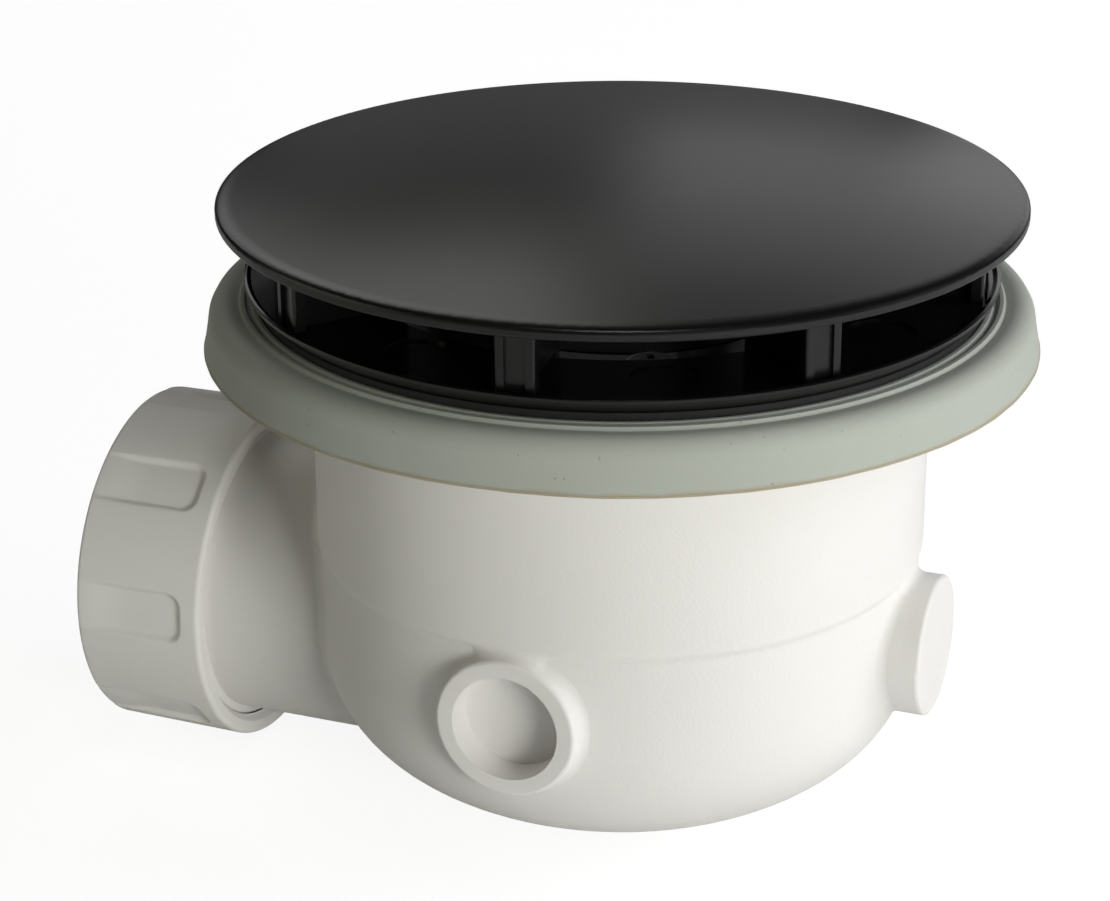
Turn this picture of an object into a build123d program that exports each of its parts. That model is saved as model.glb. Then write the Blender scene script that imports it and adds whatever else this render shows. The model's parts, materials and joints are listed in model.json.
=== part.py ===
from build123d import *
import os
from math import radians, sin, sqrt

# Shower trap: a domed drain cover over a waste flange, a wrapped tray gasket, a cream trap body with
# a low side outlet, and inside it a seal cup and a lift-out dip tube that hold the water seal.
# Millimetres. The drain axis is Z. Z = 0 is the plane where the upper washer meets the gasket's ribs,
# which is where a shower tray is clamped. +X is the way the waste water leaves.

# Drain cover
cover_radius = 57.5
cover_rim_width = 2.3
cover_rim_depth = 2.1
cover_rise = 4.0
cover_wall = 2.2
cover_lower_rounding = 0.45
post_count = 8
post_turn = 5.0
post_face_radius = 52.4
post_width = 5.5
post_thickness = 1.7
post_groove_width = 2.9
post_groove_depth = 0.55
post_corner_rounding = 0.4
fin_thickness = 1.6
fin_inner_radius = 34.5
nib_drop = 2.0
nib_clearance = 0.3
gap_height = 9.55

# Waste flange
flange_radius = 53.9
flange_lip_depth = 0.6
flange_lip_rise = 0.6
flange_lip_width = 1.0
brim_thickness = 1.9
brim_foot_radius = 52.4
dish_radius = 37.5
dish_wall = 2.0
dish_floor_height = -0.2
dish_slope_drop = 1.0
plate_underside = -3.6
throat_radius = 23.5
throat_wall = 2.0
throat_depth = 2.9
tube_seat_radius = 26.0
tube_seat_height = -2.4
mark_radius = 4.7
mark_pitch_radius = 44.3
mark_depth = 0.35
flange_rounding = 0.8

# Upper washer and tray gasket
washer_thickness = 1.0
washer_outer_inset = 0.2
tray_hole_radius = 45.0
washer_inner_overlap = 2.5
gasket_crest_radius = 56.2
gasket_crest_height = 0.2
gasket_shoulder_rounding = 3.0
gasket_skirt_radius = 60.0
gasket_depth = 7.6
gasket_top_thickness = 2.0
gasket_groove_depth = 0.5
gasket_rib_top = 0.6
gasket_rib_slope = 0.3
gasket_outer_ribs = (54.2, 52.7)
gasket_inner_ribs = (50.4, 48.1, 45.8)
gasket_inner_radius = 42.3
gasket_lip_inner_radius = 50.0
gasket_lip_thickness = 2.0

# Trap body
body_mouth_radius = 42.05
body_wall = 2.8
body_draft = 0.1
body_step = 0.6
body_step_height = -38.3
body_step_length = 1.8
bowl_start = -54.25
bowl_bottom = -76.6
bowl_floor_radius = 14.0
bowl_fullness = 0.787
body_root_rounding = 1.2
body_flange_rounding = 0.4

# Moulded bosses on the bowl
boss_height = -49.3
socket_boss_radius = 10.3
socket_boss_reach = 46.1
socket_radius = 7.75
socket_floor = 41.2
socket_back_radius = 9.4
socket_back_thickness = 2.4
blank_boss_radius = 10.3
blank_boss_reach = 48.8
blank_boss_wall = 2.5
boss_edge_rounding = 0.6
boss_root_rounding = 1.4

# Outlet neck, its pipe socket and the compression joint
outlet_height = -54.35
neck_radius = 22.0
neck_wall = 3.0
neck_root_rounding = 2.2
collar_start = 58.7
collar_end = 72.0
collar_radius = 23.4
pipe_radius = 21.5
pipe_clearance = 0.1
pipe_stop = 61.2
collar_mouth_length = 2.0
collar_mouth_wall = 0.5
nut_start = 57.5
nut_end = 78.4
nut_radius = 26.2
nut_taper = 0.3
nut_thread_clearance = 0.25
nut_lip_thickness = 2.2
nut_lip_clearance = 0.5
nut_edge_rounding = 0.7
grip_count = 8
grip_turn = 4.0
grip_start = 60.9
grip_height = 0.8
grip_width = 7.5
grip_rounding = 2.2
grip_end_margin = 0.6
grip_end_slope = 1.0
seal_pipe_grip = 0.05
seal_seat_clearance = 0.05
seal_nose_length = 1.4
seal_side_clearance = 0.25
slip_ring_thickness = 1.5
slip_ring_clearance = 0.3

# Screws and inserts
screw_count = 4
screw_pitch_radius = 32.2
screw_radius = 2.5
screw_length = 24.0
screw_head_radius = 4.0
screw_head_height = 2.4
screw_recess_span = 4.6
screw_recess_width = 1.0
screw_recess_depth = 1.4
screw_hole_clearance = 0.3
screw_seat_height = -2.0
screw_seat_clearance = 0.3
thread_clearance = 0.05
insert_radius = 3.3
insert_length = 8.0
insert_groove_depth = 0.35
insert_groove_width = 1.2
insert_fit_clearance = 0.02
screw_boss_radius = 4.3
screw_boss_floor = 2.5
screw_boss_web = 3.0
screw_pilot_extra = 1.5
screw_head_rounding = 0.9
screw_tip_rounding = 0.6
tightening_gap = 0.4

# Seal cup and dip tube
cup_inner_radius = 25.7
cup_wall = 1.5
cup_floor_thickness = 1.8
cup_corner_rounding = 6.0
cup_foot_height = 1.8
cup_foot_radius = 3.0
cup_foot_pitch_radius = 10.0
cup_foot_count = 3
seal_depth = 50.0
weir_height = -12.0
cup_fin_count = 4
cup_fin_thickness = 1.6
cup_fin_length = 18.0
cup_fin_clearance = 0.3
cup_rim_rounding = 0.6
tube_outer_radius = 20.0
tube_wall = 1.7
tube_head_clearance = 0.3
tube_head_length = 5.2
tube_flange_clearance = 0.35
tube_flange_thickness = 1.4
tube_taper_length = 6.0
tube_funnel_width = 3.2
tube_funnel_depth = 2.2
tube_end_rounding = 0.5
handle_bar_width = 3.0
handle_bar_depth = 2.2
handle_ring_radius = 7.0
handle_ring_wall = 2.2
oring_section_radius = 1.2
oring_clearance = 0.1

# Heights and radii that follow from the sizes above
floor_height = washer_thickness + brim_thickness
cover_underside = floor_height + gap_height
cover_crease = cover_underside + cover_rim_depth
crease_radius = cover_radius - cover_rim_width
gasket_base = -gasket_groove_depth
body_top = -gasket_top_thickness
body_flange_radius = gasket_crest_radius + 1.0
body_flange_underside = gasket_lip_thickness - gasket_depth
body_inner_lower = body_mouth_radius - body_draft - body_step
bowl_radius = body_inner_lower + body_wall
screw_boss_top = plate_underside - tightening_gap
tube_bottom = weir_height - seal_depth
cup_outer_radius = cup_inner_radius + cup_wall
cup_underside = bowl_bottom + body_wall + cup_foot_height
nut_bore = collar_radius + nut_thread_clearance
socket_wall_radius = pipe_radius + pipe_clearance
collar_mouth_radius = collar_radius - collar_mouth_wall
screw_turn = post_turn + 180 / post_count
screw_pilot_bottom = screw_seat_height - screw_length - screw_pilot_extra
screw_boss_bottom = screw_pilot_bottom - screw_boss_floor
tube_inner_radius = tube_outer_radius - tube_wall
tube_head_radius = throat_radius - tube_head_clearance
oring_height = plate_underside - throat_depth / 3
oring_radius = throat_radius - oring_clearance - oring_section_radius

outlet_frame = Plane(origin=(0, 0, outlet_height), x_dir=(0, 1, 0), z_dir=(1, 0, 0)).location


def outline(*corners):
    """Closed outline of (radius, height) corners; a third number rounds that corner."""
    face = make_face(Polyline(*[corner[:2] for corner in corners], close=True))
    for corner in corners:
        if len(corner) > 2:
            nearest = face.vertices().sort_by_distance((corner[0], corner[1], 0))[0]
            face = fillet(nearest, corner[2])
    return face


def turned(face):
    """Solid of revolution about the drain axis, from an outline of radii and heights."""
    return revolve(Plane.XZ * face, Axis.Z)


def upright(radius, low, high):
    """Plain cylinder on the drain axis between two heights."""
    return Pos(0, 0, low) * Cylinder(radius, high - low, align=(Align.CENTER, Align.CENTER, Align.MIN))


def block(x_low, x_high, width, low, high):
    """Radial block along +X, centred on Y = 0, between two heights."""
    centre = Pos((x_low + x_high) / 2, 0, (low + high) / 2)
    return centre * Box(x_high - x_low, width, high - low)


def spaced(count, turn):
    """Evenly spaced rotations about the drain axis, the first one at the turn angle."""
    return [Rot(0, 0, turn + 360 * index / count) for index in range(count)]


def dome(edge_radius, edge_height, rise):
    """Shallow arc from the drain axis out to an edge."""
    sphere = (edge_radius**2 + rise**2) / (2 * rise)
    middle = edge_radius / 2
    sag = sphere - sqrt(sphere**2 - middle**2)
    return ThreePointArc(
        (0, edge_height + rise),
        (middle, edge_height + rise - sag),
        (edge_radius, edge_height),
    )


def cover_top():
    """Top line of the cover, from the drain axis over the dome and the rolled rim to its widest point."""
    roll = Bezier(
        (crease_radius, cover_crease),
        (crease_radius + 0.75 * cover_rim_width, cover_crease - 0.1 * cover_rim_depth),
        (cover_radius, cover_crease - 0.25 * cover_rim_depth),
        (cover_radius, cover_crease - cover_rim_depth / 2),
    )
    return dome(crease_radius, cover_crease, cover_rise) + roll


def cover_shell():
    """Domed disc with a rolled rim and a small rounding at its lower edge."""
    foot = cover_underside + cover_lower_rounding
    foot_radius = cover_radius - cover_lower_rounding
    inner_rise = cover_crease + cover_rise - cover_wall - cover_underside
    path = cover_top()
    path += Line((cover_radius, cover_crease - cover_rim_depth / 2), (cover_radius, foot))
    path += RadiusArc((cover_radius, foot), (foot_radius, cover_underside), cover_lower_rounding)
    path += Line((foot_radius, cover_underside), (crease_radius, cover_underside))
    path += dome(crease_radius, cover_underside, inner_rise)
    path += Line((0, cover_underside + inner_rise), (0, cover_crease + cover_rise))
    return turned(make_face(path))


def under_the_dome():
    """Everything below the top of the dome, which trims the posts to the cover."""
    bottom = floor_height - nib_drop - 1
    path = dome(crease_radius, cover_crease, cover_rise)
    path += Polyline((crease_radius, cover_crease), (crease_radius, bottom), (0, bottom), (0, cover_crease + cover_rise))
    return turned(make_face(path))


def cover_post():
    """T-shaped post: a grooved outer plate and a fin that runs inward, with a nib in the dish."""
    inner_face = post_face_radius - post_thickness
    groove_floor = post_face_radius - post_groove_depth
    top = cover_crease + cover_rise
    plate = block(inner_face, post_face_radius, post_width, floor_height, top)
    plate = fillet(plate.edges().filter_by(Axis.Z).group_by(Axis.X)[-1], post_corner_rounding)
    groove = block(groove_floor, post_face_radius + 1, post_groove_width, floor_height - 1, cover_underside)
    fin = block(fin_inner_radius, inner_face, fin_thickness, floor_height, top)
    nib_outer = dish_radius - nib_clearance - flange_rounding
    nib = block(fin_inner_radius, nib_outer, fin_thickness, floor_height - nib_drop, floor_height)
    return (plate - groove + fin + nib) & under_the_dome()


def drain_cover():
    post = cover_post()
    cover = cover_shell()
    for place in spaced(post_count, post_turn):
        cover += place * post
    return cover


def waste_flange():
    """Dished flange: a brim with a raised lip, a sloping dish and a throat collar for the dip tube."""
    lip_top = floor_height + flange_lip_rise
    body = turned(
        outline(
            (throat_radius, plate_underside - throat_depth, 0.5),
            (throat_radius, dish_floor_height - dish_slope_drop),
            (dish_radius, dish_floor_height, 1.0),
            (dish_radius, floor_height, flange_rounding),
            (flange_radius - flange_lip_width, floor_height, 0.3),
            (flange_radius - flange_lip_width / 2, lip_top, 0.2),
            (flange_radius, lip_top - flange_lip_depth / 3, 0.2),
            (flange_radius, lip_top - flange_lip_depth - flange_lip_depth / 3, 0.2),
            (brim_foot_radius, washer_thickness, 0.3),
            (dish_radius + dish_wall, washer_thickness, 0.8),
            (dish_radius + dish_wall, plate_underside, 0.8),
            (throat_radius + throat_wall, plate_underside, 0.6),
            (throat_radius + throat_wall, plate_underside - throat_depth, 0.5),
        )
    )
    body -= upright(tube_seat_radius, tube_seat_height, floor_height)
    hole_radius = screw_radius + screw_hole_clearance
    seat_radius = screw_head_radius + screw_seat_clearance
    hole = Pos(screw_pitch_radius, 0, 0) * upright(hole_radius, plate_underside - 1, floor_height)
    seat = Pos(screw_pitch_radius, 0, 0) * upright(seat_radius, screw_seat_height, floor_height)
    for place in spaced(screw_count, screw_turn):
        body -= place * (hole + seat)
    mark = Pos(mark_pitch_radius, 0, 0) * upright(mark_radius, floor_height - mark_depth, floor_height + 1)
    for place in spaced(post_count, post_turn + 180 / post_count):
        body -= place * mark
    return body


def upper_washer():
    inner = tray_hole_radius - washer_inner_overlap
    outer = brim_foot_radius - washer_outer_inset
    return upright(outer, 0, washer_thickness) - upright(inner, -1, washer_thickness + 1)


def gasket_ribs():
    """Corners of the low seal ribs, from the outermost inward."""
    corners = []
    half_top = gasket_rib_top / 2
    half_foot = half_top + gasket_rib_slope
    for radius in gasket_outer_ribs + gasket_inner_ribs:
        corners.append((radius + half_foot, gasket_base))
        corners.append((radius + half_top, 0))
        corners.append((radius - half_top, 0))
        corners.append((radius - half_foot, gasket_base))
    return corners


def tray_gasket():
    """Rubber ring that wraps the body's top flange: ribbed top, rounded shoulder, skirt and lower lip."""
    shoulder_outer = gasket_crest_radius + gasket_shoulder_rounding
    shoulder_centre = gasket_crest_height - gasket_shoulder_rounding
    slant = gasket_shoulder_rounding * sin(radians(45))
    shoulder = ThreePointArc(
        (shoulder_outer, shoulder_centre),
        (gasket_crest_radius + slant, shoulder_centre + slant),
        (gasket_crest_radius, gasket_crest_height),
    )
    ribs = gasket_ribs()
    crest_fall = Line((gasket_crest_radius, gasket_crest_height), ribs[0])
    inside = Polyline(
        *ribs,
        (gasket_inner_radius, gasket_base),
        (gasket_inner_radius, body_top),
        (body_flange_radius, body_top),
        (body_flange_radius, body_flange_underside),
        (gasket_lip_inner_radius, body_flange_underside),
        (gasket_lip_inner_radius, -gasket_depth),
        (gasket_skirt_radius, -gasket_depth),
        (shoulder_outer, shoulder_centre),
    )
    return turned(make_face(shoulder + crest_fall + inside))


def bowl_curve(radius, bottom):
    """Full corner of the bowl, from its straight side down to its flat floor."""
    width = radius - bowl_floor_radius
    depth = bowl_start - bottom
    return Bezier(
        (radius, bowl_start),
        (radius, bowl_start - bowl_fullness * depth),
        (bowl_floor_radius + (1 - bowl_fullness) * width, bottom),
        (bowl_floor_radius, bottom),
    )


def step_curve(upper_radius):
    """Soft step from the mouth cylinder in to the bowl."""
    top = body_step_height + body_step_length / 2
    bottom = body_step_height - body_step_length / 2
    lower_radius = upper_radius - body_step
    return Bezier(
        (upper_radius, top),
        (upper_radius, body_step_height),
        (lower_radius, body_step_height),
        (lower_radius, bottom),
    )


def cup_form(mouth_radius, top, bottom):
    """Solid form of the trap body at one skin: mouth cylinder, soft step and bowl."""
    upper = mouth_radius - body_draft
    lower = upper - body_step
    step_top = body_step_height + body_step_length / 2
    step_bottom = body_step_height - body_step_length / 2
    path = Polyline((0, bottom), (0, top), (mouth_radius, top), (upper, step_top))
    path += step_curve(upper)
    path += Line((lower, step_bottom), (lower, bowl_start))
    path += bowl_curve(lower, bottom)
    path += Line((bowl_floor_radius, bottom), (0, bottom))
    return turned(make_face(path))


def along_outlet(radius, start, end):
    """Plain cylinder on the outlet axis between two distances from the drain axis."""
    return outlet_frame * upright(radius, start, end)


def boss_frame(direction):
    """Place whose Z axis points out of the bowl along a boss."""
    return Plane(origin=(0, 0, boss_height), z_dir=direction).location


def boss(radius, reach, direction):
    """Round boss that stands out of the bowl, rounded at its outer edge."""
    shape = upright(radius, body_inner_lower, reach)
    shape = fillet(shape.edges().group_by(Axis.Z)[-1], boss_edge_rounding)
    return boss_frame(direction) * shape


def root_edges(solid, radius, direction):
    """Edges where a boss of this radius meets the bowl."""
    axis = Vector(*direction)
    origin = Vector(0, 0, boss_height)
    found = []
    for edge in solid.edges().filter_by(GeomType.BSPLINE):
        out = (edge.center() - origin).dot(axis)
        aside = (edge.center() - origin - axis * out).length
        if out > body_inner_lower / 2 and aside < radius + 1:
            found.append(edge)
    return found


def screw_boss():
    """Column for one threaded insert, tied to the mouth wall by a web."""
    column = Pos(screw_pitch_radius, 0, 0) * upright(screw_boss_radius, screw_boss_bottom, screw_boss_top)
    web_end = body_mouth_radius + body_wall / 2
    web = block(screw_pitch_radius, web_end, screw_boss_web, screw_boss_bottom, screw_boss_top)
    return column + web


def screw_boss_hole():
    insert_bottom = screw_boss_top - insert_length
    upper = upright(insert_radius + insert_fit_clearance, insert_bottom, screw_boss_top + 1)
    pilot = upright(screw_radius + screw_hole_clearance, screw_pilot_bottom, insert_bottom + 1)
    return Pos(screw_pitch_radius, 0, 0) * (upper + pilot)


def body_flange():
    """Flange that the screws pull up against the gasket, with a rounded root where it meets the mouth wall."""
    root_foot = body_flange_underside - body_root_rounding
    draft_length = body_top - body_step_height
    root_radius = body_mouth_radius + body_wall - body_draft * (body_top - root_foot) / draft_length
    edge_foot = body_flange_underside + body_flange_rounding
    edge_radius = body_flange_radius - body_flange_rounding
    path = Polyline((edge_radius, body_flange_underside), (root_radius + body_root_rounding, body_flange_underside))
    path += RadiusArc((root_radius + body_root_rounding, body_flange_underside), (root_radius, root_foot), body_root_rounding)
    path += Polyline(
        (root_radius, root_foot),
        (body_mouth_radius, root_foot),
        (body_mouth_radius, body_top),
        (body_flange_radius, body_top),
        (body_flange_radius, edge_foot),
    )
    path += RadiusArc((body_flange_radius, edge_foot), (edge_radius, body_flange_underside), body_flange_rounding)
    return turned(make_face(path))


def body_outside():
    """Outer form of the trap body, solid inside, with the neck and both bosses blended into the bowl."""
    skin = cup_form(body_mouth_radius + body_wall, body_top, bowl_bottom)
    skin += along_outlet(neck_radius, bowl_floor_radius, collar_end)
    neck_root = [edge for edge in skin.edges().filter_by(GeomType.BSPLINE) if edge.center().X > 0]
    skin = fillet(neck_root, neck_root_rounding)
    skin += boss(socket_boss_radius, socket_boss_reach, (0, 1, 0))
    skin = fillet(root_edges(skin, socket_boss_radius, (0, 1, 0)), boss_root_rounding)
    skin += boss(blank_boss_radius, blank_boss_reach, (-1, 0, 0))
    skin = fillet(root_edges(skin, blank_boss_radius, (-1, 0, 0)), boss_root_rounding)
    return skin + body_flange()


def pipe_collar():
    """Threaded collar at the end of the neck, as a plain turned ring of its crest size."""
    return outlet_frame * turned(
        outline(
            (neck_radius - neck_wall / 2, collar_start),
            (collar_radius, collar_start, 0.4),
            (collar_radius, collar_end, 0.3),
            (neck_radius - neck_wall / 2, collar_end),
        )
    )


def outlet_bore():
    """Water way through the neck, the pipe socket and its coned mouth."""
    mouth_start = collar_end - collar_mouth_length
    return outlet_frame * turned(
        outline(
            (0, bowl_floor_radius),
            (neck_radius - neck_wall, bowl_floor_radius),
            (neck_radius - neck_wall, pipe_stop),
            (socket_wall_radius, pipe_stop),
            (socket_wall_radius, mouth_start),
            (collar_mouth_radius, collar_end),
            (collar_mouth_radius, collar_end + 1),
            (0, collar_end + 1),
        )
    )


def trap_body():
    """Cream moulding: top flange, mouth, bowl, two bosses, outlet neck and pipe socket."""
    body = body_outside() + pipe_collar()
    body -= cup_form(body_mouth_radius, body_top, bowl_bottom + body_wall)
    body -= outlet_bore()
    back = socket_floor - socket_back_thickness
    body += boss_frame((0, 1, 0)) * upright(socket_back_radius, back, socket_floor)
    body -= boss_frame((0, 1, 0)) * upright(socket_radius, socket_floor, socket_boss_reach + 1)
    core_radius = blank_boss_radius - blank_boss_wall
    core_end = blank_boss_reach - blank_boss_wall
    body -= boss_frame((-1, 0, 0)) * upright(core_radius, body_inner_lower - body_wall, core_end)
    column = screw_boss() - screw_boss_hole()
    for place in spaced(screw_count, screw_turn):
        body += place * column
    return body


def flange_screw():
    """Pan head screw with a cross recess."""
    head_top = screw_seat_height + screw_head_height
    head = upright(screw_head_radius, screw_seat_height, head_top)
    head = fillet(head.edges().group_by(Axis.Z)[-1], screw_head_rounding)
    shank = upright(screw_radius, screw_seat_height - screw_length, screw_seat_height)
    shank = chamfer(shank.edges().group_by(Axis.Z)[0], screw_tip_rounding)
    half_span = screw_recess_span / 2
    slot = block(-half_span, half_span, screw_recess_width, head_top - screw_recess_depth, head_top + 1)
    return Pos(screw_pitch_radius, 0, 0) * (head + shank - slot - Rot(0, 0, 90) * slot)


def flange_screws():
    screw = flange_screw()
    return Compound(children=[place * screw for place in spaced(screw_count, screw_turn)])


def screw_insert():
    """Brass insert with two gripping grooves round its outside."""
    bottom = screw_boss_top - insert_length
    body = upright(insert_radius, bottom, screw_boss_top)
    bore = upright(screw_radius + thread_clearance, bottom - 1, screw_boss_top + 1)
    groove_floor = insert_radius - insert_groove_depth
    for share in (1 / 3, 2 / 3):
        middle = bottom + share * insert_length
        low = middle - insert_groove_width / 2
        high = middle + insert_groove_width / 2
        body -= upright(insert_radius + 1, low, high) - upright(groove_floor, low, high)
    return Pos(screw_pitch_radius, 0, 0) * (body - bore)


def screw_inserts():
    insert = screw_insert()
    return Compound(children=[place * insert for place in spaced(screw_count, screw_turn)])


def seal_cup():
    """Cup that holds the water, on three feet, with fins that centre it and hold it under the flange."""
    floor_top = cup_underside + cup_floor_thickness
    cup = turned(
        outline(
            (0, cup_underside),
            (cup_outer_radius, cup_underside, cup_corner_rounding),
            (cup_outer_radius, weir_height, cup_rim_rounding),
            (cup_inner_radius, weir_height, cup_rim_rounding),
            (cup_inner_radius, floor_top, cup_corner_rounding - cup_wall),
            (0, floor_top),
        )
    )
    foot = Pos(cup_foot_pitch_radius, 0, 0) * upright(cup_foot_radius, bowl_bottom + body_wall, cup_underside)
    for place in spaced(cup_foot_count, 0):
        cup += place * foot
    fin_start = cup_inner_radius + cup_wall / 2
    fin_end = body_inner_lower - cup_fin_clearance
    fin_bottom = weir_height - cup_fin_length
    low_part = block(fin_start, fin_end, cup_fin_thickness, fin_bottom, weir_height - cup_rim_rounding)
    tall_start = cup_outer_radius + cup_wall
    fin_top = plate_underside - cup_fin_clearance
    tall_part = block(tall_start, fin_end, cup_fin_thickness, fin_bottom, fin_top)
    for place in spaced(cup_fin_count, 0):
        cup += place * (low_part + tall_part)
    return cup


def dip_tube():
    """Lift-out tube: seat flange, grooved head, taper, long tube and a handle across its mouth."""
    flange_top = tube_seat_height + tube_flange_thickness
    head_bottom = tube_seat_height - tube_head_length
    tube = turned(
        outline(
            (tube_inner_radius, tube_bottom, tube_end_rounding),
            (tube_inner_radius, flange_top - tube_funnel_depth),
            (tube_inner_radius + tube_funnel_width, flange_top, 0.3),
            (tube_seat_radius - tube_flange_clearance, flange_top, 0.4),
            (tube_seat_radius - tube_flange_clearance, tube_seat_height),
            (tube_head_radius, tube_seat_height),
            (tube_head_radius, head_bottom),
            (tube_outer_radius, head_bottom - tube_taper_length, 3.0),
            (tube_outer_radius, tube_bottom, tube_end_rounding),
        )
    )
    groove_low = oring_height - oring_section_radius - oring_clearance
    groove_high = oring_height + oring_section_radius + oring_clearance
    groove_floor = oring_radius - oring_section_radius
    tube -= upright(tube_head_radius + 1, groove_low, groove_high) - upright(groove_floor, groove_low, groove_high)
    bar_low = flange_top - tube_funnel_depth - handle_bar_depth
    bar_high = flange_top - tube_funnel_depth
    ring_inner = handle_ring_radius - handle_ring_wall
    ring = upright(handle_ring_radius, bar_low, bar_high) - upright(ring_inner, bar_low - 1, bar_high + 1)
    bar_start = handle_ring_radius - handle_ring_wall / 2
    bar = block(bar_start, tube_inner_radius + tube_wall / 2, handle_bar_width, bar_low, bar_high)
    tube += ring
    for place in spaced(4, 0):
        tube += place * bar
    return tube


def dip_tube_seal():
    return Pos(0, 0, oring_height) * Torus(oring_radius, oring_section_radius)


def grip():
    """Raised finger pad on the nut, rounded at its inner end and sloped at its outer end."""
    top = nut_radius + grip_height
    end = nut_end - grip_end_margin
    pad = block(nut_bore + (nut_radius - nut_bore) / 2, top + 1, grip_width, grip_start, end)
    pad = fillet(pad.edges().filter_by(Axis.X).group_by(Axis.Z)[0], grip_rounding)
    envelope = turned(
        outline(
            (0, grip_start - 1),
            (top, grip_start - 1),
            (top, end - grip_end_slope),
            (top - grip_end_slope, end),
            (0, end),
        )
    )
    return pad & envelope


def outlet_nut():
    """Compression nut with an inward lip at its outer end and finger pads round it."""
    lip_start = nut_end - nut_lip_thickness
    lip_radius = pipe_radius + nut_lip_clearance
    nut = turned(
        outline(
            (nut_bore, nut_start, nut_edge_rounding),
            (nut_radius, nut_start, nut_edge_rounding),
            (nut_radius - nut_taper, nut_end, nut_edge_rounding),
            (lip_radius, nut_end, 0.3),
            (lip_radius, lip_start),
            (nut_bore, lip_start),
        )
    )
    pad = grip()
    for place in spaced(grip_count, grip_turn):
        nut += place * pad
    return outlet_frame * nut


def slip_ring():
    """Hard ring that lets the nut turn without dragging the rubber seal round."""
    end = nut_end - nut_lip_thickness
    outer = nut_bore - seal_side_clearance
    inner = pipe_radius + slip_ring_clearance
    start = end - slip_ring_thickness
    return outlet_frame * (upright(outer, start, end) - upright(inner, start - 1, end + 1))


def outlet_seal():
    """Tapered rubber ring whose nose is pressed into the collar's coned mouth."""
    end = nut_end - nut_lip_thickness - slip_ring_thickness
    nose = collar_end - seal_nose_length
    cone = (collar_mouth_radius - socket_wall_radius) / collar_mouth_length
    root_radius = collar_mouth_radius - seal_seat_clearance
    return outlet_frame * turned(
        outline(
            (pipe_radius + seal_pipe_grip, nose),
            (root_radius - cone * seal_nose_length, nose),
            (root_radius, collar_end),
            (root_radius, collar_end + seal_seat_clearance),
            (nut_bore - seal_side_clearance, collar_end + seal_seat_clearance, 0.4),
            (nut_bore - seal_side_clearance, end),
            (pipe_radius + seal_pipe_grip, end),
        )
    )


parts = {
    "drain_cover": drain_cover,
    "waste_flange": waste_flange,
    "upper_washer": upper_washer,
    "flange_screws": flange_screws,
    "tray_gasket": tray_gasket,
    "trap_body": trap_body,
    "screw_inserts": screw_inserts,
    "seal_cup": seal_cup,
    "dip_tube": dip_tube,
    "dip_tube_seal": dip_tube_seal,
    "outlet_nut": outlet_nut,
    "slip_ring": slip_ring,
    "outlet_seal": outlet_seal,
}

os.makedirs("parts", exist_ok=True)
for name, make in parts.items():
    export_step(make(), "parts/" + name + ".step")
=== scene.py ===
"""Looks of the shower trap: finishes, refined surfaces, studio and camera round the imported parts."""
import json
import logging
import math
from dataclasses import dataclass
from enum import Enum

import bpy
import numpy as np
from mathutils import Matrix, Vector


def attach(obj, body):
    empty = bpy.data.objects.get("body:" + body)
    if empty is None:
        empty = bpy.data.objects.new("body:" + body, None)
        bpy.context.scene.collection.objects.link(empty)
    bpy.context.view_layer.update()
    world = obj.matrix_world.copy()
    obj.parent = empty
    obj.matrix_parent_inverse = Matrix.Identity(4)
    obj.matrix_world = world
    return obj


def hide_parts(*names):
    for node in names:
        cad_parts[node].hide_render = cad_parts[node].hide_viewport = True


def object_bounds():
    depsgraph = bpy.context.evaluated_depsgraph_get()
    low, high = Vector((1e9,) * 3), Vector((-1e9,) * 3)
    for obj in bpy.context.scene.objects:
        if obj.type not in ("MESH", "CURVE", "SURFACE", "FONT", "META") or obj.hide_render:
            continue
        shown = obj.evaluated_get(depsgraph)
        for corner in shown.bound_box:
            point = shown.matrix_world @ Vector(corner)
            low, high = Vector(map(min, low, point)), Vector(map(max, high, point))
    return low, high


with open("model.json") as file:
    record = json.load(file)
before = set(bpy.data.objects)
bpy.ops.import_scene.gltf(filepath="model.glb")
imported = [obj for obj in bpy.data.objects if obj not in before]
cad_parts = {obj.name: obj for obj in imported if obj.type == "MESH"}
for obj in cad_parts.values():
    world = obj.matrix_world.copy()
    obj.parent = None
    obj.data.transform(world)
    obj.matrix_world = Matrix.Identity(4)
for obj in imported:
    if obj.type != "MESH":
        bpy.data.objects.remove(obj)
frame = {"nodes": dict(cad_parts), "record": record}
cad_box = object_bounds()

log = logging.getLogger("shower_trap")

MM = 0.001
ROOT = "root"
Colour = tuple[float, float, float]
Corner = tuple[float, float, float]
WHITE: Colour = (1.0, 1.0, 1.0)

# Numbers of the Mix node's colour sockets.
MIX_SHARE, MIX_FIRST, MIX_SECOND, MIX_RESULT = 0, 6, 7, 2

# Values that are the same in every use of a group: noise detail, and where a mask starts and ends.
FINE_DETAIL = 2.0
BROAD_DETAIL = 3.0
CLOUD_DETAIL = 4.0
NOISE_MIDDLE = 0.5
CLOUD_RANGE = (0.35, 0.65)
SPECK_RANGE = (0.10, 0.28)
EDGE_RANGE = (0.6, 1.8)
EDGE_PATCH_SCALE = 130.0

# Smallest divisor and shortest side in an outline, in millimetres.
SMALLEST = 1e-9
SHORTEST_SIDE = 1e-6


class Group(Enum):
    """Shader node groups that the finishes share."""

    GRAIN = "Moulding grain"
    DRIFT = "Tone drift"
    SPECKS = "Fine specks"
    EDGE = "Lower edge tint"


def shade(level: float, tint: Colour = WHITE) -> Colour:
    """Scales a tint to a level.

    Args:
        level: Linear lightness, 0 to 1.
        tint: Colour that is scaled.

    Returns:
        The scaled colour.
    """
    return tuple(level * part for part in tint)


def opaque(colour: Colour) -> tuple[float, float, float, float]:
    """Colour with an alpha of 1."""
    return (*colour, 1.0)


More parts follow.
